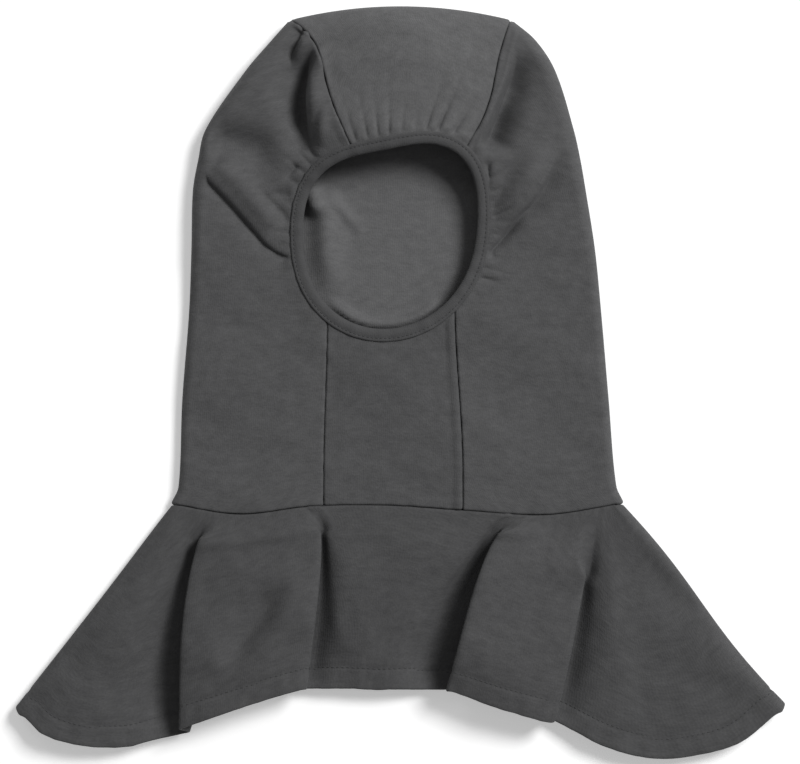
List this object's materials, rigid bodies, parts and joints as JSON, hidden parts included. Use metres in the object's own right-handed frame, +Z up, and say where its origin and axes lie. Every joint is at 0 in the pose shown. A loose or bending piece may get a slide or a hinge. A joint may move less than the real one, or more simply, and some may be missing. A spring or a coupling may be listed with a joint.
{
  "type": "welding head cover",
  "caption": "Knitted cloth hood laid flat, with sewn panels, a bound face opening and a fluted shoulder drape, worn under a welding helmet to shield head, neck and shoulders.",
  "frame": {"origin": "on the surface that the cover lies on, under the middle of its outline", "axes": "+Y from the hem to the crown, +X to the wearer's left with the face opening up, +Z up from the surface"},
  "size_m": [0.4999, 0.4881, 0.0344],
  "materials": {
    "hood_cloth": "matt charcoal cotton knit",
    "drape_cloth": "matt charcoal cotton knit",
    "binding_cloth": "matt charcoal ribbed elastic binding"
  },
  "bodies": {
    "root": {"crown_panel": "hood_cloth", "side_panel_left": "hood_cloth", "side_panel_right": "hood_cloth", "throat_panel": "hood_cloth", "face_binding": "binding_cloth", "shoulder_drape": "drape_cloth"}
  },
  "joints": []
}
